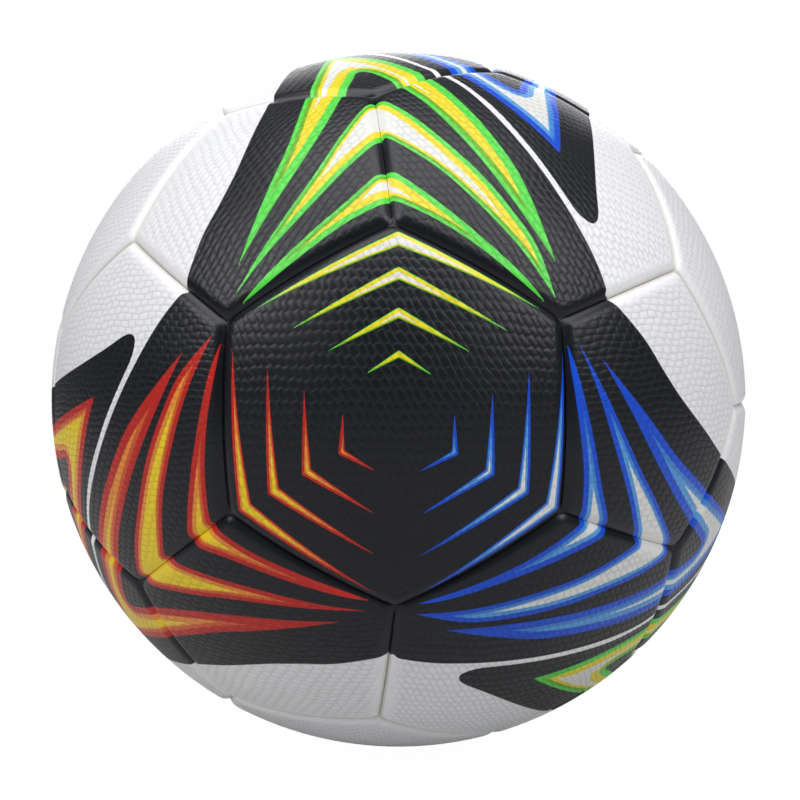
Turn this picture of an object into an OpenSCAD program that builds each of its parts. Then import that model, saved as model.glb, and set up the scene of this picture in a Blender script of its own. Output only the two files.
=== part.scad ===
// A match ball for soccer, size 5, with thirty-two heat-bonded panels.
// Twenty hexagons and twelve pentagons cover a truncated icosahedron blown up to a sphere.
// From the outside in: cover panels, foam pads, woven carcass, rubber bladder and its valve.
// The origin is the centre of the ball. Panel 1, a black hexagon, faces -Y with a corner
// straight up, and the valve sits in the hexagon opposite it, facing +Y.

/* [Ball] */
// Radius of the pumped-up ball (a circumference of 690 mm)
ball_r = 110; // [60:0.5:130]
// Gap left between neighbouring panels
seam_gap = 0.3; // [0.1:0.05:0.8]
// Width over which a panel edge rolls down into its seam
roll_w = 2.2; // [1:0.1:4]
// Depth of the rolled edge at the seam
roll_d = 0.8; // [0.3:0.05:1]
// Length cut off each corner of a panel, so that three corners meet in a small pit
corner_trim = 0.5; // [0.3:0.05:1.5]

/* [Layers] */
// Thickness of the cover panels
cover_t = 1.4; // [1.2:0.1:3]
// Thickness of the foam pads under the panels
foam_t = 3.6; // [1.5:0.1:6]
// Thickness of the woven carcass
carcass_t = 0.9; // [0.5:0.1:2]
// Wall of the rubber bladder
bladder_t = 0.8; // [0.5:0.1:2]
// Film of glue between one layer and the next
glue_line = 0.1; // [0.05:0.05:0.3]

/* [Valve] */
// Radius of the valve stem where it comes up through the layers
stem_r = 4.5; // [3.5:0.1:8]
// Clearance around the stem in every layer
stem_clear = 0.2; // [0.1:0.05:0.5]
// Depth of the stem's end below the cover's surface
stem_recess = 0.5; // [0.2:0.1:1.2]
// Length of the stem below the bladder's wall
stem_drop = 9; // [6:0.5:20]
// Radius of the flange that is bonded inside the bladder
flange_r = 16; // [12:0.5:25]
// Thickness of the flange
flange_t = 1.2; // [0.8:0.1:3]
// Radius of the plug inside the stem
plug_r = 2.6; // [2:0.1:3]
// Radius of the collar that locks the plug in the stem
collar_r = 3.5; // [3.4:0.05:3.8]
// Height of the collar
collar_h = 2; // [1:0.1:4]
// Clearance around the plug and its collar
plug_clear = 0.05; // [0.02:0.01:0.15]
// Radius of the needle hole
needle_r = 0.9; // [0.7:0.05:1.1]
// Depth of the round needle hole
needle_l = 11; // [6:0.5:14]
// Width of the slit between the lips below the needle hole
slit_w = 0.2; // [0.1:0.05:0.4]
// Breadth of the slit
slit_b = 2.4; // [1:0.1:3.5]
// Height of the duckbill lips below the stem
lips_h = 4; // [2:0.5:8]
// Thickness of the lips across the slit
lips_t = 1.8; // [1.2:0.1:3]
// Depth of the countersunk mouth that guides the needle
mouth_d = 0.5; // [0.2:0.1:1]

/* [Hidden] */
COVER_FACES = 128;
ROUND = 64;
HEXAGONS = 20;
PENTAGONS = 12;
// How far the cutting shapes reach past the surface
OVER = 4;

// Layer radii, from the outside in
cover_in = ball_r - cover_t;
foam_out = cover_in - glue_line;
foam_in = foam_out - foam_t;
carcass_out = foam_in - glue_line;
carcass_in = carcass_out - carcass_t;
bladder_out = carcass_in - glue_line;
bladder_in = bladder_out - bladder_t;

// Heights along the valve's axis, measured from the centre of the ball
stem_top = ball_r - stem_recess;
stem_end = bladder_in - stem_drop;
hole_r = stem_r + stem_clear;
collar_z = (stem_top + stem_end) / 2;

// Corner angles, as seen from the centre of a truncated icosahedron with unit edges
edge_ratio = 4 / sqrt(58 + 18 * sqrt(5));
hex_corner = asin(edge_ratio);
pent_corner = asin(edge_ratio / (2 * sin(36)));

// Directions from the centre of the ball to every panel, by way of the golden ratio
golden = (1 + sqrt(5)) / 2;
signs = [1, -1];
cube_dirs = [for (a = signs, b = signs, c = signs) [a, b, c]];
belt_dirs = [for (k = [0:2], a = signs, b = signs) cycled([0, a / golden, b * golden], k)];
hex_dirs = concat([for (k = [0:6]) cube_dirs[k]], belt_dirs, [cube_dirs[7]]);
pent_dirs = [for (k = [0:2], a = signs, b = signs) cycled([0, a * golden, b], k)];

// The ball's own axes: panel 1 faces -Y and one of its pentagon neighbours leans to +X
front = unit(hex_dirs[0]);
axis_y = -front;
axis_x = unit(pent_dirs[0] - (pent_dirs[0] * front) * front);
axis_z = cross(axis_x, axis_y);

function cycled(v, k) = [v[k % 3], v[(k + 1) % 3], v[(k + 2) % 3]];
function unit(v) = v / norm(v);
function in_ball(v) = unit([v * axis_x, v * axis_y, v * axis_z]);

// A panel borders the panels of the other kind whose centres lie within 60 degrees
function bordering(n, dirs) = [for (d = dirs) if (in_ball(d) * n > cos(60)) in_ball(d)];

// Frame with Z through the panel's centre and X towards one bordering panel
function panel_frame(n, toward) =
    let (x = unit(toward - (toward * n) * n), y = cross(n, x))
    [[x[0], y[0], n[0], 0], [x[1], y[1], n[1], 0], [x[2], y[2], n[2], 0], [0, 0, 0, 1]];

hex_frames = [for (d = hex_dirs) let (n = in_ball(d)) panel_frame(n, bordering(n, pent_dirs)[0])];
pent_frames = [for (d = pent_dirs) let (n = in_ball(d)) panel_frame(n, bordering(n, hex_dirs)[0])];

// Four hexagons at the corners of a tetrahedron are black, the rest are mostly white
function is_black(i) = (i == 0 || i == 3 || i == 5 || i == 6);

function two_digits(i) = str(i < 10 ? "0" : "", i);
function hex_name(i) = str("hex_panel_", two_digits(i + 1));
function pent_name(i) = str("pent_panel_", two_digits(i + 1));

// Angle from a panel's centre to the middle of its edges
function edge_angle(sides, corner) = atan(tan(corner) * cos(180 / sides));

// Hollow sphere whose poles lie on the Y axis, clear of a panel drawn around +Z
module shell(outer, inner) {
    rotate([90, 0, 0])
        difference() {
            sphere(r = outer, $fn = COVER_FACES);
            sphere(r = inner, $fn = COVER_FACES);
        }
}

// Pyramid through the seams around a panel, drawn in by half of the seam gap
module seam_pyramid(sides, corner) {
    draw_in = seam_gap / 2 / sin(edge_angle(sides, corner));
    reach = ball_r + OVER;
    translate([0, 0, draw_in])
        rotate([0, 0, 180 / sides])
            cylinder(h = reach, r1 = 0, r2 = reach * tan(corner), $fn = sides);
}

// Cone through the centre of the ball that trims the panel's corners
module corner_cone(corner) {
    reach = ball_r + OVER;
    trimmed = corner - corner_trim / ball_r * 180 / PI;
    cylinder(h = reach, r1 = 0, r2 = reach * tan(trimmed), $fn = ROUND);
}

// Ring along one seam that cuts the panel's edge down by roll_d over roll_w
module edge_roll(sides, corner, k) {
    slope = roll_d / roll_w;
    rotate([0, 0, k * 360 / sides])
        rotate([0, 90 + edge_angle(sides, corner), 0])
            rotate_extrude($fn = COVER_FACES)
                polygon([
                    [ball_r - roll_d, 0],
                    [ball_r + slope * OVER, -roll_w - OVER],
                    [ball_r + slope * OVER, roll_w + OVER]
                ]);
}

module cover_panel(sides, corner) {
    difference() {
        intersection() {
            shell(ball_r, cover_in);
            seam_pyramid(sides, corner);
            corner_cone(corner);
        }
        for (k = [0:sides - 1]) edge_roll(sides, corner, k);
    }
}

module foam_pad(sides, corner) {
    intersection() {
        shell(foam_out, foam_in);
        seam_pyramid(sides, corner);
    }
}

// Hole along a panel's Z axis for the valve stem
module stem_hole() {
    translate([0, 0, stem_end]) cylinder(h = ball_r, r = hole_r, $fn = ROUND);
}

module hex_panel(i) {
    color(is_black(i) ? "#15161a" : "#eef0f0")
        multmatrix(hex_frames[i]) cover_panel(6, hex_corner);
}

module valve_panel() {
    color("#eef0f0")
        multmatrix(hex_frames[HEXAGONS - 1])
            difference() {
                cover_panel(6, hex_corner);
                stem_hole();
            }
}

module pent_panel(i) {
    color("#9aa0a4")
        multmatrix(pent_frames[i]) cover_panel(5, pent_corner);
}

module hex_foam_pads() {
    color("#e8e2d2")
        for (i = [0:HEXAGONS - 1])
            multmatrix(hex_frames[i])
                difference() {
                    foam_pad(6, hex_corner);
                    if (i == HEXAGONS - 1) stem_hole();
                }
}

module pent_foam_pads() {
    color("#e8e2d2")
        for (i = [0:PENTAGONS - 1])
            multmatrix(pent_frames[i]) foam_pad(5, pent_corner);
}

// Turns a piece drawn along +Z to face +Y, where the valve is
module along_valve() {
    rotate([-90, 0, 0]) children();
}

module carcass() {
    color("#cfc6ae")
        along_valve()
            difference() {
                shell(carcass_out, carcass_in);
                stem_hole();
            }
}

module bladder() {
    color("#2a2a2c")
        along_valve()
            difference() {
                shell(bladder_out, bladder_in);
                stem_hole();
            }
}

// Rubber stem with a flange that follows the inside of the bladder
module valve_housing() {
    flange_out = bladder_in - glue_line;
    color("#1c1c1e")
        along_valve()
            difference() {
                union() {
                    intersection() {
                        shell(flange_out, flange_out - flange_t);
                        cylinder(h = ball_r, r = flange_r, $fn = ROUND);
                    }
                    translate([0, 0, stem_end])
                        cylinder(h = stem_top - stem_end, r = stem_r, $fn = ROUND);
                }
                translate([0, 0, stem_end - OVER])
                    cylinder(h = stem_top - stem_end + 2 * OVER, r = plug_r + plug_clear, $fn = ROUND);
                translate([0, 0, collar_z - collar_h / 2 - plug_clear])
                    cylinder(h = collar_h + 2 * plug_clear, r = collar_r + plug_clear, $fn = ROUND);
            }
}

// Plug with a locking collar, a needle hole and duckbill lips that air pressure holds shut
module valve_core() {
    hole_end = stem_top - needle_l;
    lips_end = stem_end - lips_h;
    color("#3a3a3d")
        along_valve()
            difference() {
                union() {
                    translate([0, 0, stem_end])
                        cylinder(h = stem_top - stem_end, r = plug_r, $fn = ROUND);
                    translate([0, 0, collar_z - collar_h / 2])
                        cylinder(h = collar_h, r = collar_r, $fn = ROUND);
                    intersection() {
                        translate([0, 0, lips_end]) cylinder(h = lips_h, r = plug_r, $fn = ROUND);
                        translate([-plug_r, -lips_t / 2, lips_end]) cube([2 * plug_r, lips_t, lips_h]);
                    }
                }
                translate([0, 0, hole_end]) cylinder(h = needle_l + OVER, r = needle_r, $fn = ROUND);
                translate([0, 0, stem_top - mouth_d])
                    cylinder(h = 2 * mouth_d, r1 = needle_r, r2 = needle_r + 2 * mouth_d, $fn = ROUND);
                translate([-slit_b / 2, -slit_w / 2, lips_end - OVER])
                    cube([slit_b, slit_w, hole_end - lips_end + OVER + slit_w]);
            }
}

for (i = [0:HEXAGONS - 2])
    hex_panel(i);
valve_panel();
for (i = [0:PENTAGONS - 1])
    pent_panel(i);
hex_foam_pads();
pent_foam_pads();
carcass();
bladder();
valve_housing();
valve_core();
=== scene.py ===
"""A soccer ball of thirty-two printed cover panels over its padding, carcass and bladder.

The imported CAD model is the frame. Each cover panel is made again here with rolled edges and a woven
emboss, and the layers inside and the valve keep their CAD shapes and get their own finishes.
Everything is in metres, in the frame's own axes.
"""

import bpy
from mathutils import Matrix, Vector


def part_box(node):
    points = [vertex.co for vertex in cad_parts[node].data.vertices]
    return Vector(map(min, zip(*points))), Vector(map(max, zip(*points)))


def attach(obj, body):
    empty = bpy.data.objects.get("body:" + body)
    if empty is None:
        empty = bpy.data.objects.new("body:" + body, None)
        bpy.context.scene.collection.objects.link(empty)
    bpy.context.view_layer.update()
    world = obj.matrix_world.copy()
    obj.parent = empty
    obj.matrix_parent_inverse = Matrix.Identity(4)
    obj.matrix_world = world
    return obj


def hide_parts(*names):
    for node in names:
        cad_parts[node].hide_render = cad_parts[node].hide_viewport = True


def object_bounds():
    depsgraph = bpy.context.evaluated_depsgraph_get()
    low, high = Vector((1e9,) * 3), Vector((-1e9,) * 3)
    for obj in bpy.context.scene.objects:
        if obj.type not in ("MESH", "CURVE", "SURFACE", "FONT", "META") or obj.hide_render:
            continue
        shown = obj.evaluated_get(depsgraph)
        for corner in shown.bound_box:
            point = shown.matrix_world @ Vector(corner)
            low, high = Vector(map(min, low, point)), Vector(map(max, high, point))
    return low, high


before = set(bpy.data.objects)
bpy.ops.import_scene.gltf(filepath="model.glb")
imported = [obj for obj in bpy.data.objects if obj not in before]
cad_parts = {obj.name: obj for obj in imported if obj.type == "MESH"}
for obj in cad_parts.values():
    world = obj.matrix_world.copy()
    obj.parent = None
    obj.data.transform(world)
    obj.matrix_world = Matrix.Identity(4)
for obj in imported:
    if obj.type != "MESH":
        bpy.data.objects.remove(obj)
CAD_BOX = [[float(x) for x in corner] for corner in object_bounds()]

import functools
import math

import bpy
import numpy as np
from mathutils import Matrix, Vector

bl_info = {
    "name": "Panelled soccer ball",
    "version": (1, 0, 0),
    "blender": (4, 5, 0),
    "location": "3D View > Sidebar > Ball",
    "description": "Makes a printed and embossed soccer ball round its packed frame",
    "category": "Add Mesh",
}

MM = 0.001
BALL_RADIUS = round(max(CAD_BOX[1]), 4)
GOLDEN = (1 + math.sqrt(5)) / 2


def shown(red, green, blue):
    """A colour as it should look on a screen, as the linear colour that a shader takes. Each part
    is ((c + 0.055) / 1.055)^2.4, or c / 12.92 where it is dark."""
    return tuple(
        ((c + 0.055) / 1.055) ** 2.4 if c > 0.04 else c / 12.92 for c in (red, green, blue)
    )


# ---------------------------------------------------------------- sizes and colours


def length(name, description, default):
    """A length in metres."""
    return bpy.props.FloatProperty(
        name=name, description=description, default=default, unit="LENGTH", precision=5
    )


def angle(name, description, degrees):
    """An angle given in degrees and kept in radians."""
    return bpy.props.FloatProperty(
        name=name, description=description, default=math.radians(degrees), subtype="ANGLE"
    )


def number(name, description, default):
    """A plain number."""
    return bpy.props.FloatProperty(name=name, description=description, default=default)


def colour(name, description, red, green, blue):
    """A colour given as it should look on a screen."""
    return bpy.props.FloatVectorProperty(
        name=name,
        description=description,
        default=shown(red, green, blue),
        subtype="COLOR",
        min=0,
        max=1,
    )


class BallSizes(bpy.types.PropertyGroup):
    """Sizes of the cover panels and of their emboss"""

    seam_gap: length("Seam gap", "Space between two neighbouring cover panels", 0.10 * MM)
    roll_width: length("Roll width", "How far from the seam a panel starts to turn down", 3.3 * MM)
    roll_depth: length("Roll depth", "How far a panel has turned down at its seam", 1.25 * MM)
    cover_thickness: length("Cover thickness", "Thickness of the cover sheet", 1.4 * MM)
    net_step: length("Net step", "Spacing of the points on a panel", 0.62 * MM)
    strand_width: length("Strand width", "Width of one strand of the woven emboss", 1.75 * MM)
    weave_depth: length("Weave depth", "Depth of the grooves between the strands", 0.11 * MM)
    weave_margin: length("Weave margin", "From the seam to where the emboss is full", 4.5 * MM)
    valve_hole: length("Valve hole", "Radius of the hole round the valve stem", 4.7 * MM)
    print_slip: length("Print slip", "How far a panel's print may be off each way", 0.45 * MM)
    front_slip: length("Front slip", "How far the front panel's print is off towards +X", 1.1 * MM)


class PrintColours(bpy.types.PropertyGroup):
    """Colours of the cover and of its printed chevrons"""

    white: colour("White cover", "Ground of the plain panels", 0.945, 0.945, 0.955)
    black: colour("Black ink", "Ground behind the chevrons", 0.030, 0.042, 0.078)
    # seam: painted shade, a warm grey laid along the seams of the white panels
    seam: colour("Seam shade", "Glue and dust in the seams of the white panels", 0.74, 0.71, 0.64)
    green: colour("Green", "Outline of the green chevrons", 0.33, 0.85, 0.27)
    lime: colour("Lime", "Thin inner line of the green chevrons", 0.40, 0.68, 0.04)
    yellow: colour("Yellow", "Band of the green chevrons", 0.93, 0.84, 0.12)
    red: colour("Red", "Outline of the red chevrons", 0.75, 0.12, 0.08)
    rust: colour("Rust", "Thin inner line of the red chevrons", 0.84, 0.36, 0.14)
    orange: colour("Orange", "Band of the red chevrons", 0.91, 0.56, 0.20)
    gold: colour("Gold", "Core of the red chevrons", 0.94, 0.82, 0.10)
    blue: colour("Blue", "Outline of the blue chevrons", 0.01, 0.30, 0.82)
    steel: colour("Steel blue", "Thin inner line of the blue chevrons", 0.24, 0.52, 0.82)
    sky: colour("Sky blue", "Band of the blue chevrons", 0.34, 0.62, 0.86)
    core: colour("White core", "Core of the green and the blue chevrons", 0.885, 0.885, 0.875)


class InnerColours(bpy.types.PropertyGroup):
    """Colours of the valve and of the layers inside"""

    foam: colour("Foam", "Padding under the cover", 0.86, 0.83, 0.74)
    cloth: colour("Carcass cloth", "Woven lining round the bladder", 0.80, 0.78, 0.70)
    bladder: colour("Bladder", "Rubber of the bladder", 0.16, 0.15, 0.15)
    valve: colour("Valve", "Rubber of the valve housing", 0.10, 0.10, 0.11)
    plug: colour("Valve core", "Rubber of the core that takes the needle", 0.55, 0.53, 0.50)


class StageSettings(bpy.types.PropertyGroup):
    """Camera, lamps and floor"""

    distance: length("Camera distance", "From the middle of the ball to the camera", 302.8 * MM)
    azimuth: angle("Camera azimuth", "Turn from the front", 0.59)
    elevation: angle("Camera elevation", "Height over the middle", 2.3)
    roll: angle("Camera roll", "Lean of the camera", 0.37)
    lens: number("Lens", "Focal length in millimetres", 40.05)
    sky_light: number("Sky light", "Strength of the even light", 0.14)
    top_lamp: number("Top lamp", "Power of the soft lamp above", 10.5)
    side_lamp: number("Side lamps", "Power of each soft side lamp", 9.0)
    back_lamp: number("Back lamp", "Power of the soft lamp behind", 15.0)


# ---------------------------------------------------------------- signals in a material


class Signal:
    """One number that varies over a surface. Arithmetic on it adds Math nodes to its finish."""

    def __init__(self, finish, socket):
        self.finish = finish
        self.socket = socket

    def __add__(self, other):
        return self.finish.maths("ADD", self, other)

    def __sub__(self, other):
        return self.finish.maths("SUBTRACT", self, other)

    def __rsub__(self, other):
        return self.finish.maths("SUBTRACT", other, self)

    def __mul__(self, other):
        return self.finish.maths("MULTIPLY", self, other)

    def __pow__(self, other):
        return self.finish.maths("POWER", self, other)

    def __mod__(self, other):
        return self.finish.maths("FLOORED_MODULO", self, other)

    def __abs__(self):
        return self.finish.maths("ABSOLUTE", self)

    __radd__ = __add__
    __rmul__ = __mul__


def larger(a, b):
    """The larger of two signals, or of two arrays."""
    return a.finish.maths("MAXIMUM", a, b) if isinstance(a, Signal) else np.maximum(a, b)


def smaller(a, b):
    """The smaller of two signals, or of two arrays."""
    return a.finish.maths("MINIMUM", a, b) if isinstance(a, Signal) else np.minimum(a, b)


def rise(a, start, end):
    """0 before start and 1 after end, in a straight line between them, for a signal or an array."""
    return smaller(larger((a - start) * (1 / (end - start)), 0.0), 1.0)


class Finish:
    """A material under construction, with its one Principled shader."""

    def __init__(self, name):
        self.material = bpy.data.materials.new(name)
        self.material.use_nodes = True
        self.tree = self.material.node_tree
        self.tree.nodes.clear()
        self.shader = self.node("ShaderNodeBsdfPrincipled", {}, {})
        output = self.node("ShaderNodeOutputMaterial", {}, {})
        self.tree.links.new(self.shader.outputs["BSDF"], output.inputs["Surface"])

    def node(self, kind, settings, values):
        """A node of that type: its settings first, then its sockets' values or links."""
        made = self.tree.nodes.new(kind)
        for key, value in settings.items():
            setattr(made, key, value)
        for key, value in values.items():
            self.feed(made.inputs[key], value)
        return made

    def feed(self, socket, value):
        """Links a signal or an output to a socket, or gives the socket a plain value."""
        source = value.socket if isinstance(value, Signal) else value
        if isinstance(source, bpy.types.NodeSocket):
            self.tree.links.new(source, socket)
        elif socket.type == "RGBA":
            socket.default_value = tuple(source)[:3] + (1.0,)
        else:
            socket.default_value = source

    def maths(self, operation, *values):
        """The signal that a Math node makes of signals and numbers."""
        made = self.node("ShaderNodeMath", {"operation": operation}, dict(enumerate(values)))
        return Signal(self, made.outputs[0])

    def place(self):
        """Object coordinates, in metres."""
        return self.node("ShaderNodeTexCoord", {}, {}).outputs["Object"]

    def attribute(self, name):
        """The three parts of a vector that the mesh carries at each point."""
        read = self.node("ShaderNodeAttribute", {"attribute_name": name}, {})
        parts = self.node("ShaderNodeSeparateXYZ", {}, {"Vector": read.outputs["Vector"]})
        return [Signal(self, part) for part in parts.outputs]

    def noise(self, scale, detail=3.0):
        """Soft clouds, with scale of them to a metre."""
        made = self.node(
            "ShaderNodeTexNoise",
            {"noise_dimensions": "3D"},
            {"Vector": self.place(), "Scale": scale, "Detail": detail, "Roughness": 0.5},
        )
        return Signal(self, made.outputs["Fac"])

    def cells(self, scale):
        """Distance to the nearest of scattered points, in cells."""
        made = self.node(
            "ShaderNodeTexVoronoi", {"feature": "F1"}, {"Vector": self.place(), "Scale": scale}
        )
        return Signal(self, made.outputs["Distance"])

    def mix(self, factor, first, second, blend="MIX"):
        """A colour between two colours, or one laid on the other by the blend named."""
        made = self.node("ShaderNodeMix", {"data_type": "RGBA", "blend_type": blend}, {})
        self.feed(made.inputs[0], factor)
        self.feed(made.inputs[6], first)
        self.feed(made.inputs[7], second)
        return made.outputs[2]

    def grey(self, value):
        """A signal as a grey colour."""
        made = self.node("ShaderNodeCombineXYZ", {}, {"X": value, "Y": value, "Z": value})
        return made.outputs[0]

    def bump(self, height, distance, under=None):
        """A normal tilted by a height, over another normal if one is given."""
        values = {"Height": height, "Distance": distance, "Strength": 1.0}
        if under is not None:
            values["Normal"] = under
        return self.node("ShaderNodeBump", {}, values).outputs[0]

    def show(self, **values):
        """Feeds the shader's sockets, named with _ for each space, and gives the material."""
        for key, value in values.items():
            self.feed(self.shader.inputs[key.replace("_", " ")], value)
        return self.material


# ---------------------------------------------------------------- directions of the panels


def unit(v):
    """A vector, or each row of an array, made one long."""
    v = np.asarray(v, dtype=float)
    return v / np.linalg.norm(v, axis=-1, keepdims=True)


CORNERS = [(a, b, c) for a in (1, -1) for b in (1, -1) for c in (1, -1)]
SIGNS = [(a, b) for a in (1, -1) for b in (1, -1)]
BELT = [np.roll((0, a / GOLDEN, b * GOLDEN), -k) for k in range(3) for a, b in SIGNS]
POINTS = [np.roll((0, a * GOLDEN, b), -k) for k in range(3) for a, b in SIGNS]
HEX_RAW = unit(CORNERS[:7] + BELT + CORNERS[7:])
PENT_RAW = unit(POINTS)

# the first hexagon faces -Y, and the first pentagon lies beside it towards +X, in the XY plane
AXIS_Y = -HEX_RAW[0]
AXIS_X = unit(PENT_RAW[0] - PENT_RAW[0] @ HEX_RAW[0] * HEX_RAW[0])
TO_BALL = np.array([AXIS_X, AXIS_Y, np.cross(AXIS_X, AXIS_Y)])
HEXAGONS = HEX_RAW @ TO_BALL.T
PENTAGONS = PENT_RAW @ TO_BALL.T

BLACK_HEXAGONS = (0, 3, 5, 6)
PLAIN_HEXAGONS = (1, 2, 4, 19)
VALVE_HEXAGON = 19
NEXT_PANEL = 0.5  # cosine below which a panel of the other kind isn't a neighbour
HEX_SIDES = 6
PENT_SIDES = 5

# distance from the ball's centre to a corner where each edge is 1, then the angles from the centre
# of a hexagon and of a pentagon to a corner
CIRCUMRADIUS = math.sqrt(58 + 18 * math.sqrt(5)) / 4
HEX_CORNER = math.asin(1 / CIRCUMRADIUS)
PENT_CORNER = math.asin(1 / (2 * math.sin(math.pi / PENT_SIDES) * CIRCUMRADIUS))


def apothem(sides):
    """Distance on the flat map from a panel's centre to the middle of its edge, for a ball of
    radius 1."""
    corner = HEX_CORNER if sides == HEX_SIDES else PENT_CORNER
    return math.tan(corner) * math.cos(math.pi / sides)


def panel_axes(centre, others):
    """x, y and z of a panel: z through its centre, and x towards its first neighbour of the other
    kind."""
    near = others[np.argmax(others @ centre > NEXT_PANEL)]
    x = unit(near - near @ centre * centre)
    return np.array([x, np.cross(centre, x), centre])


# ---------------------------------------------------------------- the printed chevrons


def through(points, per=7):
    """A smooth line through points: on each stretch a cubic whose slope at a point is half the
    chord between the two points beside it."""
    p = np.array([points[0], *points, points[-1]], dtype=float)
    t = (np.arange(per) / per)[:, None, None]
    a, b, c, d = p[:-3], p[1:-2], p[2:-1], p[3:]
    line = b + 0.5 * t * ((c - a) + t * ((2 * a - 5 * b + 4 * c - d) + t * (3 * (b - c) + d - a)))
    return np.concatenate([line.transpose(1, 0, 2).reshape(-1, 2), p[-1:]])


def on_arc(points):
    """Points of the flat map through the panel's centre, moved to where they lie along the ball."""
    p = np.asarray(points, dtype=float)
    ball = BALL_RADIUS / MM
    far = np.maximum(np.linalg.norm(p, axis=1, keepdims=True), 1e-6)
    return p / far * ball * np.arctan(far / ball)


def straight(a, b, per=4):
    """Points along a straight line."""
    t = np.linspace(0, 1, per + 1)[:, None]
    return np.array(a) * (1 - t) + np.array(b) * t


class Chevron:
    """One chevron: its outer and its inner edge, each as two lines that meet where it turns, from
    the left tip to the right tip, and the scale of its layers."""

    def __init__(self, scale, outer, inner, small=False):
        self.scale = scale
        self.outer = [on_arc(line) for line in outer] if small else outer
        self.inner = [on_arc(line) for line in inner] if small else inner
        self.small = small


def small_chevron(scale, left, top, right, under):
    """A chevron with straight arms."""
    outer = [straight(left, top), straight(top, right)]
    inner = [straight(left, under), straight(under, right)]
    return Chevron(scale, outer, inner, small=True)


# millimetres from a black hexagon's centre, with the family's axis up: on the flat map for the
# small chevrons, and along the ball for the arches and the ground
SMALL_CHEVRONS = (
    small_chevron(0.34, (-7.6, 9.8), (0.2, 15.3), (7.8, 9.5), (0.2, 13.6)),
    small_chevron(0.36, (-15.8, 15.2), (0.2, 25.2), (16.4, 14.8), (0.2, 22.6)),
    small_chevron(0.36, (-24.8, 20.6), (0.2, 35.4), (25.6, 20.0), (0.2, 32.0)),
    small_chevron(0.38, (-33.8, 26.8), (0.2, 45.4), (34.4, 26.2), (0.2, 41.0)),
)
FIRST_ARCH = Chevron(
    0.90,
    [
        through([(-35, 27), (-29.5, 33), (-20, 42.5), (-10, 52), (-4.2, 58.2), (-1.2, 59.8)]),
        through([(-1.2, 59.8), (1.6, 58.6), (10, 51.6), (20, 42.5), (29.5, 33.4), (35.5, 26.5)]),
    ],
    [
        through([(-35, 27), (-30, 30.6), (-20, 38.4), (-10, 46), (0, 51.5)]),
        through([(0, 51.5), (10, 46.2), (20, 39.3), (30, 31), (35.5, 26.5)]),
    ],
)
SECOND_ARCH = Chevron(
    0.85,
    [
        through([
            (-36.7, 29), (-30.5, 40), (-24.6, 50), (-19, 60), (-14.4, 70),
            (-9.8, 79.6), (-6.6, 85), (-4, 86.6),
        ]),
        through([
            (-4, 86.6), (-1.2, 85.4), (4.7, 80), (13.3, 70), (21.6, 60), (28.6, 50),
            (34.4, 40), (38, 27.5),
        ]),
    ],
    [
        through([(-36.7, 29), (-30, 38), (-20, 50), (-10, 62.5), (-2, 71.5)]),
        through([(-2, 71.5), (10, 62), (20, 51.5), (30, 39.6), (38, 27.5)]),
    ],
)
LONG_ARCH = Chevron(
    1.55,
    [
        through([(-36.5, 36.5), (-30.5, 58), (-27, 72), (-25.2, 90), (-24.5, 105), (-24.5, 131.5)]),
        through([
            (-24.5, 131.5), (-10, 121), (0, 112), (11.5, 99), (20, 85.5), (28, 70),
            (33, 58), (38.8, 36.5),
        ]),
    ],
    [
        through([
            (-36.5, 36.5), (-30, 49.5), (-25, 59.5), (-20, 71), (-16, 83), (-12.6, 98),
            (-11.8, 103.6), (-10.5, 105.3),
        ]),
        through([
            (-10.5, 105.3), (-8.4, 104.6), (-5, 102), (5, 90.5), (10, 84), (20, 68.5),
            (30, 51.5), (38.8, 36.5),
        ]),
    ],
)
CHEVRONS = (*SMALL_CHEVRONS, FIRST_ARCH, SECOND_ARCH, LONG_ARCH)
LEFT_ARM, RIGHT_ARM, SMALL_ARM = 0, 1, 2
THIN_LINE_START = 0.75
NEAR_EDGE = 0.7
NARROW_GAP = 1.9

# the black ground of one family: a tall shield with a hooked tip, open towards the black hexagon
GROUND = [
    through([
        (-51.5, 31.5), (-48, 45), (-44, 55), (-41, 65), (-38.6, 80), (-37, 95),
        (-37, 120), (-38.2, 135), (-40.2, 144),
    ]),
    through([
        (-40.2, 144), (-40.2, 147), (-38, 149.2), (-33, 148.8), (-28, 146),
        (-20, 139.6), (-10, 130), (0, 118.5), (10, 107), (20, 96.5), (30, 79.5),
        (40, 60.5), (49, 41), (52.4, 30.5),
    ]),
    np.array([(52.4, 30.5), (50.0, 20), (20, -25), (-20, -25), (-50, 20), (-51.5, 31.5)]),
]

CHART_STEP = 0.3
CHART_X = np.arange(-62, 62, CHART_STEP)
CHART_Y = np.arange(-32, 156, CHART_STEP)
OFF_CHART = -99.0


def far_from(lines, x, y):
    """Distance to the nearest of some lines: for each stretch a to b, the distance to a + h(b - a)
    with h held in 0..1."""
    best = np.full(x.shape, np.inf)
    for line in lines:
        for (ax, ay), (bx, by) in zip(line[:-1], line[1:]):
            dx, dy = bx - ax, by - ay
            h = np.clip(((x - ax) * dx + (y - ay) * dy) / (dx * dx + dy * dy + 1e-12), 0, 1)
            best = np.minimum(best, (x - ax - h * dx) ** 2 + (y - ay - h * dy) ** 2)
    return np.sqrt(best)


def within(lines, x, y):
    """True where a ray to the right crosses the closed outline an odd number of times."""
    odd = np.zeros(x.shape, dtype=bool)
    for line in lines:
        for (ax, ay), (bx, by) in zip(line[:-1], line[1:]):
            if ay != by:
                crossing = ((ay > y) != (by > y)) & (x < ax + (y - ay) * (bx - ax) / (by - ay))
                odd ^= crossing
    return odd


def closed(lines):
    """The lines with a straight one from the last point back to the first."""
    return [*lines, np.array([lines[-1][-1], lines[0][0]])]


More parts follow.
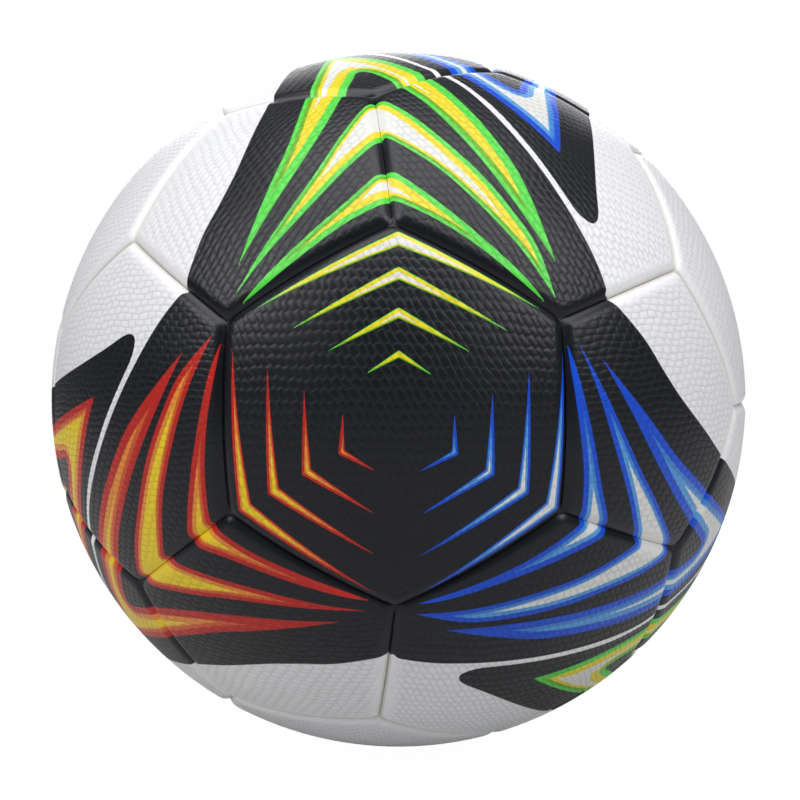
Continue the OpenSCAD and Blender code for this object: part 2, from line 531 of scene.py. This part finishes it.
@functools.lru_cache(maxsize=1)
def family_chart():
    """One family's print on a flat grid: depth within a chevron's outer edge, depth beyond its
    inner edge, its arm, and depth inside the black ground. Both depths are above 0 on the chevron.
    Away from it both are the lower one, so that nothing shows where the nearest chevron changes."""
    x, y = np.meshgrid(CHART_X, CHART_Y, indexing="ij")
    chart = np.full((4, *x.shape), OFF_CHART)
    nearest = np.full(x.shape, OFF_CHART)
    second = np.full(x.shape, OFF_CHART)
    for chevron in CHEVRONS:
        outer = np.where(within(closed(chevron.outer), x, y), 1, -1) * far_from(chevron.outer, x, y)
        inner = np.where(within(closed(chevron.inner), x, y), -1, 1) * far_from(chevron.inner, x, y)
        low = np.minimum(outer, inner)
        outer = np.where(low < -NEAR_EDGE, low, outer) / chevron.scale
        inner = np.where(low < -NEAR_EDGE, low, inner) / chevron.scale
        if chevron.small:
            arm = np.full(x.shape, SMALL_ARM)
        else:
            (ax, ay), (bx, by) = chevron.inner[0][-1], chevron.outer[0][-1]
            side = (x - ax) * (by - ay) - (y - ay) * (bx - ax)
            arm = np.clip(side / math.hypot(bx - ax, by - ay) + 0.5, LEFT_ARM, RIGHT_ARM)
        nearer = low / chevron.scale > np.minimum(chart[0], chart[1])
        for row, value in enumerate((outer, inner, arm)):
            chart[row] = np.where(nearer, value, chart[row])
        second = np.maximum(second, np.minimum(nearest, low))
        nearest = np.maximum(nearest, low)
    # in a narrow gap between two chevrons the higher depth is held to the size of the lower one
    low = np.minimum(chart[0], chart[1])
    held = np.minimum(np.maximum(chart[0], chart[1]), -low)
    gap = (nearest < 0) & (second > -NARROW_GAP)
    chart[0] = np.where(gap & (chart[0] > chart[1]), held, chart[0])
    chart[1] = np.where(gap & (chart[1] > low), held, chart[1])
    chart[3] = np.where(within(GROUND, x, y), 1, -1) * far_from(GROUND, x, y)
    return chart


FAMILY_TURNS = [
    np.diag(signs) @ np.roll(np.eye(3), k, axis=0)
    for k in range(3)
    for signs in ((1, 1, 1), (1, -1, -1), (-1, 1, -1), (-1, -1, 1))
]
FIRST_FAMILY = np.array([(1, 0, 0), (0, 0, 1), (0, -1, 0)]).T
FAMILY_AXES = [TO_BALL @ turn @ TO_BALL.T @ FIRST_FAMILY for turn in FAMILY_TURNS]
GREEN, RED, BLUE = 0, 1, 2
FAMILY_TINTS = (GREEN, GREEN, RED, BLUE, RED, RED, BLUE, GREEN, BLUE, BLUE, GREEN, RED)


def read_print(directions):
    """(outer, inner, arm), ground and tint of the print at each direction: the family whose chevron
    is nearest gives them, and the ground is the deepest of all families'."""
    chart = family_chart()
    best = np.full((4, len(directions)), OFF_CHART)
    tint = np.zeros(len(directions))
    for axes, family_tint in zip(FAMILY_AXES, FAMILY_TINTS):
        x, y, z = (directions @ axes).T
        arc = np.arccos(np.clip(z, -1, 1)) * BALL_RADIUS / MM
        across = np.maximum(np.hypot(x, y), 1e-9)
        column = (arc * x / across - CHART_X[0]) / CHART_STEP
        row = (arc * y / across - CHART_Y[0]) / CHART_STEP
        seen = (column > 0) & (column < len(CHART_X) - 1.01)
        seen &= (row > 0) & (row < len(CHART_Y) - 1.01)
        if not seen.any():
            continue
        i, j = column[seen].astype(int), row[seen].astype(int)
        u, v = column[seen] - i, row[seen] - j
        found = (
            chart[:, i, j] * (1 - u) * (1 - v)
            + chart[:, i + 1, j] * u * (1 - v)
            + chart[:, i, j + 1] * (1 - u) * v
            + chart[:, i + 1, j + 1] * u * v
        )
        current = best[:, seen]
        nearer = np.minimum(found[0], found[1]) > np.minimum(current[0], current[1])
        current[:3] = np.where(nearer, found[:3], current[:3])
        current[3] = np.maximum(current[3], found[3])
        best[:, seen] = current
        tint[seen] = np.where(nearer, family_tint, tint[seen])
    return best[:3], best[3], tint


# ---------------------------------------------------------------- the cover panels


# in strand widths
FLOAT_LENGTH = 1.75
ROW_STEP = 0.62
FLOAT_TILT = 0.14
FLOAT_MIDDLE = 0.86
WANDER = 0.14
RIPPLE = 0.10

# in millimetres from the seam
WEAVE_START = 0.8

PATCH_DEPTH = 0.25
ROLL_POWER = 2.2
HOLE_ROLL_WIDTH = 1.2 * MM
HOLE_ROLL_DEPTH = 0.5 * MM
EASE = 0.9 * MM
RING_POINTS_PER_SIDE = 100


def weave(u, v):
    """Staggered floats, in strand widths: rows one strand wide, with each row's floats a step
    further on. A float is (1 - (2 across)^4)(1 - along^4)(FLOAT_MIDDLE + FLOAT_TILT along), so one
    end stands higher."""
    row = v - v % 1
    across = abs(v % 1 - 0.5)
    along = (u - row * ROW_STEP) % FLOAT_LENGTH * (2 / FLOAT_LENGTH) - 1
    top = along * FLOAT_TILT + FLOAT_MIDDLE
    return (1 - (across * 2) ** 4) * (1 - abs(along) ** 4) * top


def eased(width, step, margin):
    """Distances from an edge, from margin to width: sqrt(w^2 + EASE^2) - EASE for even steps of w,
    so that the rows stand closer near the edge."""
    reach = math.sqrt((width + EASE) ** 2 - EASE**2)
    w = np.linspace(0, reach, round(reach / step) + 1)
    return margin + (np.sqrt(w * w + EASE * EASE) - EASE) * (width - margin) / width


def kite_net(sides, sizes):
    """A panel's flat map as kites: P(s,t) = s(1-t) M + t(1-s) M' + st C, with M and M' the middles
    of two neighbouring edges and C the corner between them, and the panel's centre at s = t = 0."""
    reach = apothem(sides)
    away = eased(reach * BALL_RADIUS, sizes.net_step, sizes.seam_gap / 2)
    steps = 1 - away[::-1] / (reach * BALL_RADIUS)
    steps[0] = 0
    n = len(steps) - 1
    around = np.arange(sides) * 2 * math.pi / sides
    half = math.pi / sides
    middle = np.stack([np.cos(around), np.sin(around)], axis=-1)[:, None, None]
    corner = np.stack([np.cos(around + half), np.sin(around + half)], axis=-1)[:, None, None]
    middle = reach * middle
    corner = reach / math.cos(half) * corner
    s = steps[1:, None, None]
    t = steps[None, :, None]
    net = s * (1 - t) * middle + t * (1 - s) * np.roll(middle, -1, axis=0) + s * t * corner
    points = np.concatenate([np.zeros((1, 2)), net.reshape(-1, 2)])
    k, i, j = np.meshgrid(np.arange(sides), np.arange(n + 1), np.arange(n + 1), indexing="ij")
    own = 1 + (k * n + i - 1) * (n + 1) + j
    following = 1 + ((k + 1) % sides * n + j - 1) * (n + 1)
    place = np.where(i > 0, own, np.where(j > 0, following, 0))
    quads = np.stack(
        [place[:, :-1, :-1], place[:, 1:, :-1], place[:, 1:, 1:], place[:, :-1, 1:]], axis=-1
    )
    rim = np.concatenate([place[:, n, :n], place[:, :0:-1, n]], axis=1)
    return points, quads.reshape(-1, 4), rim.reshape(-1), None


def ring_net(sides, sizes):
    """A panel's flat map as rings round a hole: r = hole + f (edge - hole), with the edge at
    apothem / cos(angle from the nearest edge's middle)."""
    reach = apothem(sides)
    count = sides * RING_POINTS_PER_SIDE
    around = np.arange(count) * 2 * math.pi / count
    turn = 2 * math.pi / sides
    from_middle = (around + turn / 2) % turn - turn / 2
    edge = (reach - sizes.seam_gap / 2 / BALL_RADIUS) / np.cos(from_middle)
    hole = sizes.valve_hole / BALL_RADIUS
    width = (reach - hole) * BALL_RADIUS
    outer = eased(width / 2, sizes.net_step, 0.0) / width
    f = np.concatenate([outer, 1 - outer[-2::-1]])[:, None]
    r = hole + f * (edge - hole)
    points = np.stack([r * np.cos(around), r * np.sin(around)], axis=-1)
    place = np.arange(points.shape[0] * count).reshape(-1, count)
    beside = np.roll(place, -1, axis=1)
    quads = np.stack([place[:-1], place[1:], beside[1:], beside[:-1]], axis=-1)
    return points.reshape(-1, 2), quads.reshape(-1, 4), place[-1], place[0]


def panel_relief(directions, flat, axes, sides, sizes, turn, shift, hole):
    """Radius at each direction: R - roll - weave depth (1 - weave), where the roll is
    depth (1 - d/width)^ROLL_POWER for each edge at distance d, added as squares at the corners.
    Also the weave's u and v in strand widths, and the distance to the rim in millimetres."""
    middle_angle = math.atan(apothem(sides))
    drop = np.zeros(len(directions))
    rim = np.full(len(directions), 1.0)
    for k in range(sides):
        around = 2 * math.pi * k / sides
        towards = axes[0] * math.cos(around) + axes[1] * math.sin(around)
        inward = math.sin(middle_angle) * axes[2] - math.cos(middle_angle) * towards
        away = BALL_RADIUS * np.arcsin(np.clip(directions @ inward, -1, 1))
        rim = np.minimum(rim, away)
        turned = np.clip(1 - away / sizes.roll_width, 0, 1) ** ROLL_POWER
        drop += (sizes.roll_depth * turned) ** 2
    if hole:
        away = np.linalg.norm(flat, axis=1) * BALL_RADIUS - sizes.valve_hole
        rim = np.minimum(rim, away)
        turned = np.clip(1 - away / HOLE_ROLL_WIDTH, 0, 1) ** 2
        drop += (HOLE_ROLL_DEPTH * turned) ** 2
    drop = np.minimum(np.sqrt(drop), sizes.roll_depth)
    x, y = (flat * BALL_RADIUS / sizes.strand_width).T
    u = x * math.cos(turn) + y * math.sin(turn) + shift
    v = y * math.cos(turn) - x * math.sin(turn) + shift / 2
    # the rows wander in long waves and short ripples, as embossed film does
    wander_u = u + WANDER * np.sin(0.83 * v + shift) + RIPPLE * np.sin(2.1 * u - 1.3 * v)
    wander_v = v + WANDER * np.sin(0.71 * u - shift) + RIPPLE * np.sin(1.9 * v + 1.1 * u)
    full = rise(rim, WEAVE_START * MM, sizes.weave_margin)
    patches = np.sin(0.31 * u + shift) * np.sin(0.27 * v - shift)
    patchy = (1 - PATCH_DEPTH) + PATCH_DEPTH * patches
    relief = sizes.weave_depth * full * patchy * (1 - weave(wander_u, wander_v))
    return BALL_RADIUS - drop - relief, np.stack([wander_u, wander_v, rim / MM], axis=-1)


def close_panel(first, rim, hole, inner_rows):
    """Quads and triangles of the cut edge and the inner face: rows as long as the rim, numbered
    from first, that run from the rim to the centre or to the hole."""
    rows = [rim, *(np.arange(len(rim)) + first + r * len(rim) for r in range(inner_rows))]
    if hole is None:
        last = first + inner_rows * len(rim)
        cap = np.stack([rows[-1], np.full(len(rim), last), np.roll(rows[-1], -1)], axis=-1)
    else:
        rows.append(hole)
        cap = np.zeros((0, 3), dtype=int)
    walls = [
        np.stack([upper, lower, np.roll(lower, -1), np.roll(upper, -1)], axis=-1)
        for upper, lower in zip(rows[:-1], rows[1:])
    ]
    return np.concatenate(walls), cap


INNER_ROWS = 3
FRONT_FACING = -0.999  # y of a panel's outward direction, below which it is the front panel
WEAVE_TURN = 60  # degrees
WEAVE_TURNS = 3
WEAVE_LEAN = 5  # degrees
WEAVE_SHIFT = 20
SAME_DIRECTION = 0.99
SEEDS = {"hex": 100, "pent": 200}


def cover_mesh(name, axes, sides, sizes, rng, hole=False):
    """The closed mesh of one cover panel, with its print and its weave stored at each point."""
    points, quads, rim, hole_rim = (ring_net if hole else kite_net)(sides, sizes)
    whole = WEAVE_TURN * rng.integers(0, WEAVE_TURNS)
    turn = math.radians(whole + rng.uniform(-WEAVE_LEAN, WEAVE_LEAN))
    shift = rng.uniform(0, WEAVE_SHIFT)
    slip = rng.uniform(-1, 1, 2) * sizes.print_slip / BALL_RADIUS
    if axes[2][1] < FRONT_FACING:
        slip = np.array([-sizes.front_slip / BALL_RADIUS, 0.0])
    # rows of the inner face: at the rim, then towards the centre or the hole
    ends = points[hole_rim] if hole else np.zeros((1, 2))
    shares = np.linspace(0, 1, INNER_ROWS + 1)[: INNER_ROWS + (1 if hole else 0)]
    inner = [points[rim] * (1 - share) + ends * share for share in shares]
    if not hole:
        inner.append(np.zeros((1, 2)))
    flat = np.concatenate([points, *inner])
    directions = unit(flat @ axes[:2] + axes[2])
    radius, woven = panel_relief(directions, flat, axes, sides, sizes, turn, shift, hole)
    radius[len(points):] = BALL_RADIUS - sizes.cover_thickness
    walls, cap = close_panel(len(points), rim, hole_rim, len(shares))
    inside, ground, tint = read_print(unit(directions + slip @ axes[:2]))

    mesh = bpy.data.meshes.new(name)
    co = directions * radius[:, None]
    fours = np.concatenate([quads, walls])
    corners = np.concatenate([fours.ravel(), cap.ravel()])
    starts = np.concatenate(
        [np.arange(len(fours)) * 4, len(fours) * 4 + np.arange(len(cap)) * 3]
    )
    mesh.vertices.add(len(co))
    mesh.vertices.foreach_set("co", co.ravel())
    mesh.loops.add(len(corners))
    mesh.loops.foreach_set("vertex_index", corners.astype(np.int32))
    mesh.polygons.add(len(starts))
    mesh.polygons.foreach_set("loop_start", starts.astype(np.int32))
    smooth = np.arange(len(starts)) < len(quads)
    mesh.update(calc_edges=True)
    mesh.polygons.foreach_set("use_smooth", smooth)
    for key, values in (
        ("weave", woven),
        ("chevron", inside.T),
        ("ground", np.stack([ground, tint, np.zeros(len(tint))], axis=-1)),
    ):
        layer = mesh.attributes.new(key, "FLOAT_VECTOR", "POINT")
        values = np.ascontiguousarray(values, dtype=np.float32)
        layer.data.foreach_set("vector", values.ravel())
    if mesh.validate():
        raise RuntimeError(f"{name} has faces that Blender can't use")
    return mesh


def add_cover(kind, index, finish, sizes):
    """Makes the cover of the hexagon or pentagon with that index, in place of its CAD node."""
    hexagon = kind == "hex"
    centre = (HEXAGONS if hexagon else PENTAGONS)[index]
    axes = panel_axes(centre, PENTAGONS if hexagon else HEXAGONS)
    hole = hexagon and index == VALVE_HEXAGON
    node = "valve_panel" if hole else f"{kind}_panel_{index + 1:02d}"
    low, high = (Vector(corner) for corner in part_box(node))
    if ((low + high) / 2).normalized().dot(Vector(centre)) < SAME_DIRECTION:
        raise RuntimeError(f"{node} isn't where the cover expects it")
    name = "valve_cover" if hole else f"{kind}_cover_{index + 1:02d}"
    rng = np.random.default_rng(index + SEEDS[kind])
    mesh = cover_mesh(name, axes, HEX_SIDES if hexagon else PENT_SIDES, sizes, rng, hole)
    piece = bpy.data.objects.new(name, mesh)
    bpy.context.scene.collection.objects.link(piece)
    mesh.materials.append(finish)
    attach(piece, "root")
    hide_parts(node)


# ---------------------------------------------------------------- finishes


PRINT_EDGE = 0.10  # half the width in millimetres over which one ink meets the next
TINT_EDGE = 0.2

# where the layers of a chevron start, in millimetres from its lined edge and from its bare edge
LINE_LAYER = (THIN_LINE_START, 1.65)
BAND_LAYER = (1.55, 1.65)
GREEN_CORE = (2.35, 3.9)
OTHER_CORE = (2.0, 3.0)
RED_OUTLINE = 0.6  # millimetres more of outline on the red chevrons
SMALL_BARE_EDGE = 1.2  # millimetres less on the bare edge of small chevrons that aren't red

# painted shade in the seams of the white ground: how strong it is, and the millimetres from the rim
# over which it fades out
SEAM_PAINTED_SHADE = 0.60
SEAM_PAINTED_SHADE_START = 0.15
SEAM_PAINTED_SHADE_END = 1.0
CLOUD_SCALE, CLOUD_DETAIL = 38.0, 4.0
GRAIN_SCALE, GRAIN_DETAIL = 2600.0, 2.0
GROOVE_SHADE, CLOUD_SHADE = 0.24, 0.10
FILM_ROUGHNESS = 0.31
GROOVE_ROUGHNESS, CLOUD_ROUGHNESS, GRAIN_ROUGHNESS = 0.22, 0.22, 0.10


def past(signal, start, edge=PRINT_EDGE):
    """1 where a depth in millimetres is past start, with a narrow soft edge."""
    return rise(signal, start - edge, start + edge)


def chevron_ink(finish, colours):
    """Colours of the three families, as (mask of every chevron, colour). From its edge inwards a
    chevron has an outline, a thin line on one side only, a band and a core."""
    outer, inner, arm = finish.attribute("chevron")
    _, tint, _ = finish.attribute("ground")
    is_red = past(tint, (GREEN + RED) / 2, TINT_EDGE)
    is_blue = past(tint, (RED + BLUE) / 2, TINT_EDGE)
    right = rise(arm, LEFT_ARM, RIGHT_ARM)
    start = rise(arm, RIGHT_ARM, SMALL_ARM) * THIN_LINE_START - is_red * RED_OUTLINE
    bare_start = rise(arm, RIGHT_ARM, SMALL_ARM) * (1 - is_red) * SMALL_BARE_EDGE

    def layer(lined_from, bare_from):
        """1 inside the line that runs lined_from and bare_from in from a chevron's two edges."""
        on_left = past(outer + start, lined_from) * past(inner + bare_start, bare_from)
        on_right = past(inner + start, lined_from) * past(outer + bare_start, bare_from)
        return on_left + (on_right - on_left) * right

    def of_family(green, red, blue):
        return finish.mix(is_blue, finish.mix(is_red, green, red), blue)

    outline = of_family(colours.green, colours.red, colours.blue)
    line = of_family(colours.lime, colours.rust, colours.steel)
    band = of_family(colours.yellow, colours.orange, colours.sky)
    core = of_family(colours.core, colours.gold, colours.core)
    green_core = layer(*GREEN_CORE)
    other_core = layer(*OTHER_CORE)
    ink = finish.mix(green_core + (other_core - green_core) * is_red, band, core)
    ink = finish.mix(layer(*BAND_LAYER), line, ink)
    ink = finish.mix(layer(*LINE_LAYER), outline, ink)
    return past(smaller(outer, inner), 0.0), ink


def cover_finish(name, sizes, colours, printed=True, ground="both"):
    """Semi-gloss film with a woven emboss: white or black ground, chevrons, and shaded grooves."""
    finish = Finish(name)
    u, v, rim = finish.attribute("weave")
    height = weave(u, v)
    full = rise(rim, WEAVE_START, sizes.weave_margin / MM)
    groove = (1 - height) * full
    cloud = finish.noise(CLOUD_SCALE, CLOUD_DETAIL)
    grain = finish.noise(GRAIN_SCALE, GRAIN_DETAIL)
    if ground == "both":
        black_depth, _, _ = finish.attribute("ground")
        dark = past(black_depth, 0.0)
        base = finish.mix(dark, colours.white, colours.black)
    else:
        dark = None
        base = colours.black if ground == "black" else colours.white
    # painted shade in the seams, a warm grey, on the white ground only
    seam_painted_shade = (1 - rise(rim, SEAM_PAINTED_SHADE_START, SEAM_PAINTED_SHADE_END)) * SEAM_PAINTED_SHADE
    if dark is not None:
        seam_painted_shade = seam_painted_shade * (1 - dark)
    if ground != "black":
        base = finish.mix(seam_painted_shade, base, colours.seam)
    if printed:
        mask, ink = chevron_ink(finish, colours)
        base = finish.mix(mask, base, ink)
    shade = 1 - groove * GROOVE_SHADE - (cloud - 0.5) * CLOUD_SHADE
    base = finish.mix(1.0, base, finish.grey(shade), "MULTIPLY")
    rough = FILM_ROUGHNESS + groove * GROOVE_ROUGHNESS + (cloud - 0.5) * CLOUD_ROUGHNESS
    rough = rough + (grain - 0.5) * GRAIN_ROUGHNESS
    under = finish.bump(grain, 0.012 * MM)
    normal = finish.bump(height * full, 0.07 * MM, under)
    return finish.show(
        Base_Color=base,
        Roughness=rough,
        Normal=normal,
        Specular_IOR_Level=0.36,
        Coat_Weight=0.05,
        Coat_Roughness=0.30,
    )


def foam_finish(name, tone):
    """Open-celled foam: two sizes of pores, darker inside."""
    finish = Finish(name)
    pores = finish.cells(900.0)
    fine = finish.noise(1500.0)
    base = finish.mix(1.0, tone, finish.grey(0.72 + pores * 0.45), "MULTIPLY")
    normal = finish.bump(pores + fine * 0.4, 0.25 * MM)
    return finish.show(Base_Color=base, Roughness=0.86 + fine * 0.10, Normal=normal)


def cloth_finish(name, tone):
    """Laminated lining cloth: a plain weave of threads along and across, soaked in latex."""
    finish = Finish(name)
    parts = finish.node("ShaderNodeSeparateXYZ", {}, {"Vector": finish.place()})
    x, y, z = (Signal(finish, part) * (1 / (0.7 * MM)) for part in parts.outputs)
    threads = weave(x + y * 0.5, z - y * 0.5)
    soaked = finish.noise(60.0, 4.0)
    base = finish.mix(1.0, tone, finish.grey(0.68 + threads * 0.22 + soaked * 0.18), "MULTIPLY")
    normal = finish.bump(threads, 0.12 * MM)
    return finish.show(Base_Color=base, Roughness=0.62 + soaked * 0.25, Normal=normal)


def rubber_finish(name, tone, bloom=0.10, roughness=0.52):
    """Moulded rubber: a pale bloom in clouds, fine grain, and a duller skin where the bloom is."""
    finish = Finish(name)
    cloud = finish.noise(110.0, 5.0)
    grain = finish.noise(4200.0, 2.0)
    pale = rise(cloud, 0.42, 0.72) * bloom
    base = finish.mix(pale, tone, (0.62, 0.61, 0.58))
    normal = finish.bump(grain + cloud * 0.5, 0.03 * MM)
    rough = roughness + pale * 0.9 + (grain - 0.5) * 0.12
    return finish.show(Base_Color=base, Roughness=rough, Normal=normal)


def give(node, finish):
    """Puts a finish on every material slot of a CAD node."""
    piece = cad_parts[node]
    if not piece.material_slots:
        piece.data.materials.append(finish)
    for place in piece.material_slots:
        place.material = finish


# ---------------------------------------------------------------- operators


class BALL_OT_black_panels(bpy.types.Operator):
    """Makes the four black hexagons, where three families of chevrons meet"""

    bl_idname = "ball.black_panels"
    bl_label = "Black panels"

    def execute(self, context):
        sizes = context.scene.ball_sizes
        finish = cover_finish("black_cover_film", sizes, context.scene.ball_print, ground="black")
        for index in BLACK_HEXAGONS:
            add_cover("hex", index, finish, sizes)
        return {"FINISHED"}


class BALL_OT_plain_panels(bpy.types.Operator):
    """Makes the four plain white hexagons, one of them with the hole for the valve"""

    bl_idname = "ball.plain_panels"
    bl_label = "Plain panels"

    def execute(self, context):
        sizes = context.scene.ball_sizes
        colours = context.scene.ball_print
        finish = cover_finish("white_cover_film", sizes, colours, printed=False, ground="white")
        for index in PLAIN_HEXAGONS:
            add_cover("hex", index, finish, sizes)
        return {"FINISHED"}


class BALL_OT_printed_panels(bpy.types.Operator):
    """Makes the twelve hexagons and twelve pentagons that carry the large chevrons"""

    bl_idname = "ball.printed_panels"
    bl_label = "Printed panels"

    def execute(self, context):
        sizes = context.scene.ball_sizes
        finish = cover_finish("printed_cover_film", sizes, context.scene.ball_print)
        for index in range(len(HEXAGONS)):
            if index not in BLACK_HEXAGONS + PLAIN_HEXAGONS:
                add_cover("hex", index, finish, sizes)
        for index in range(len(PENTAGONS)):
            add_cover("pent", index, finish, sizes)
        return {"FINISHED"}


class BALL_OT_inner_layers(bpy.types.Operator):
    """Finishes the foam pads, the carcass and the bladder inside the cover"""

    bl_idname = "ball.inner_layers"
    bl_label = "Inner layers"

    def execute(self, context):
        colours = context.scene.ball_inner
        foam = foam_finish("padding_foam", colours.foam)
        give("hex_foam_pads", foam)
        give("pent_foam_pads", foam)
        give("carcass", cloth_finish("carcass_lining", colours.cloth))
        give("bladder", rubber_finish("bladder_latex", colours.bladder, bloom=0.22))
        return {"FINISHED"}


class BALL_OT_valve(bpy.types.Operator):
    """Finishes the valve housing and the core that takes the needle"""

    bl_idname = "ball.valve"
    bl_label = "Valve"

    def execute(self, context):
        colours = context.scene.ball_inner
        moulding = rubber_finish("valve_moulding", colours.valve, bloom=0.08, roughness=0.46)
        give("valve_housing", moulding)
        core = rubber_finish("valve_core_rubber", colours.plug, bloom=0.12, roughness=0.58)
        give("valve_core", core)
        return {"FINISHED"}


FLOOR_HALF = 6.0
FLOOR_TONE = (0.52, 0.52, 0.52)
FLOOR_GLOW = 1.06
FLOOR_GLOW_SHARE = 0.93
SKY_TONE = (0.94, 0.97, 1, 1)
SENSOR_WIDTH = 36
CAMERA_SHIFT = (0.0019, -0.0004)

# name, the setting that holds its power, its two sides and its place
SOFTBOXES = (
    ("top_softbox", "top_lamp", (1.2, 0.9), (0.0, -0.4, 1.1)),
    ("left_softbox", "side_lamp", (0.8, 0.8), (-1.0, -0.85, 0.9)),
    ("right_softbox", "side_lamp", (0.8, 0.8), (1.0, -0.85, 0.9)),
    ("back_softbox", "back_lamp", (1.4, 0.8), (0.0, 1.3, 0.7)),
)


def add_stage_object(name, data):
    """An object of the stage, linked to the scene."""
    made = bpy.data.objects.new(name, data)
    bpy.context.scene.collection.objects.link(made)
    return made


def add_softbox(name, power, size, place):
    """Adds a rectangular lamp that faces the middle of the ball."""
    lamp = bpy.data.lights.new(name, "AREA")
    lamp.energy = power
    lamp.shape = "RECTANGLE"
    lamp.size, lamp.size_y = size
    box = add_stage_object(name, lamp)
    box.location = place
    box.rotation_euler = (-Vector(place)).to_track_quat("-Z", "Y").to_euler()


class BALL_OT_stage(bpy.types.Operator):
    """Makes the floor, the lamps, the even light and the camera"""

    bl_idname = "ball.stage"
    bl_label = "Stage"

    def execute(self, context):
        scene = context.scene
        stage = scene.ball_stage
        self.lay_floor()
        self.light(scene, stage)
        self.set_camera(scene, stage)
        scene.view_settings.view_transform = "Standard"
        return {"FINISHED"}

    def lay_floor(self):
        """A pale plane under the ball. It mostly glows to the camera, so the shadow is faint."""
        level = CAD_BOX[0][2]
        mesh = bpy.data.meshes.new("floor")
        corners = [
            (x * FLOOR_HALF, y * FLOOR_HALF, level) for x, y in ((-1, -1), (1, -1), (1, 1), (-1, 1))
        ]
        mesh.from_pydata(corners, [], [(0, 1, 2, 3)])
        floor = add_stage_object("floor", mesh)
        finish = Finish("pale_floor")
        finish.show(Base_Color=FLOOR_TONE, Roughness=0.9, Specular_IOR_Level=0.0)
        path = finish.node("ShaderNodeLightPath", {}, {})
        seen = Signal(finish, path.outputs["Is Camera Ray"])
        glow = finish.node("ShaderNodeEmission", {}, {"Color": (1, 1, 1), "Strength": FLOOR_GLOW})
        parts = {0: seen * FLOOR_GLOW_SHARE, 1: finish.shader.outputs[0], 2: glow.outputs[0]}
        mixed = finish.node("ShaderNodeMixShader", {}, parts)
        output = next(n for n in finish.tree.nodes if n.type == "OUTPUT_MATERIAL")
        finish.tree.links.new(mixed.outputs[0], output.inputs["Surface"])
        mesh.materials.append(finish.material)

    def light(self, scene, stage):
        """An even pale world, white to the camera, and the softboxes."""
        world = bpy.data.worlds.new("even_light")
        scene.world = world
        world.use_nodes = True
        tree = world.node_tree
        tree.nodes.clear()
        path = tree.nodes.new("ShaderNodeLightPath")
        even = tree.nodes.new("ShaderNodeBackground")
        even.inputs["Strength"].default_value = stage.sky_light
        white = tree.nodes.new("ShaderNodeBackground")
        white.inputs["Color"].default_value = (1, 1, 1, 1)
        even.inputs["Color"].default_value = SKY_TONE
        either = tree.nodes.new("ShaderNodeMixShader")
        output = tree.nodes.new("ShaderNodeOutputWorld")
        tree.links.new(path.outputs["Is Camera Ray"], either.inputs[0])
        tree.links.new(even.outputs[0], either.inputs[1])
        tree.links.new(white.outputs[0], either.inputs[2])
        tree.links.new(either.outputs[0], output.inputs["Surface"])
        for name, setting, size, place in SOFTBOXES:
            add_softbox(name, getattr(stage, setting), size, place)

    def set_camera(self, scene, stage):
        """The camera looks at the ball's middle from azimuth and elevation, with a small roll."""
        camera = bpy.data.cameras.new("camera")
        camera.lens = stage.lens
        camera.sensor_width = SENSOR_WIDTH
        camera.clip_start = 0.01
        camera.shift_x, camera.shift_y = CAMERA_SHIFT
        level = math.cos(stage.elevation)
        east = math.sin(stage.azimuth) * level
        south = math.cos(stage.azimuth) * level
        back = Vector((east, -south, math.sin(stage.elevation)))
        up = Vector((math.sin(stage.roll), 0, math.cos(stage.roll)))
        right = up.cross(back).normalized()
        turn = Matrix((right, back.cross(right), back)).transposed()
        holder = add_stage_object("camera", camera)
        holder.matrix_world = Matrix.Translation(back * stage.distance) @ turn.to_4x4()
        scene.camera = holder


OPERATORS = (
    BALL_OT_stage,
    BALL_OT_black_panels,
    BALL_OT_plain_panels,
    BALL_OT_printed_panels,
    BALL_OT_inner_layers,
    BALL_OT_valve,
)
GROUPS = {
    "ball_sizes": BallSizes,
    "ball_print": PrintColours,
    "ball_inner": InnerColours,
    "ball_stage": StageSettings,
}


class BALL_PT_sidebar(bpy.types.Panel):
    """Lists the ball's operators with their sizes and colours"""

    bl_label = "Soccer ball"
    bl_space_type = "VIEW_3D"
    bl_region_type = "UI"
    bl_category = "Ball"

    def draw(self, context):
        for operator in OPERATORS:
            self.layout.operator(operator.bl_idname)
        for key, group in GROUPS.items():
            box = self.layout.box()
            for name in group.__annotations__:
                box.prop(getattr(context.scene, key), name)


def register():
    for group in GROUPS.values():
        bpy.utils.register_class(group)
    for operator in OPERATORS:
        bpy.utils.register_class(operator)
    bpy.utils.register_class(BALL_PT_sidebar)
    for key, group in GROUPS.items():
        setattr(bpy.types.Scene, key, bpy.props.PointerProperty(type=group))


def unregister():
    for key in GROUPS:
        delattr(bpy.types.Scene, key)
    for made in (BALL_PT_sidebar, *OPERATORS, *GROUPS.values()):
        bpy.utils.unregister_class(made)


def main():
    register()
    for operator in OPERATORS:
        group, name = operator.bl_idname.split(".")
        getattr(getattr(bpy.ops, group), name)()


if __name__ == "__main__":
    main()
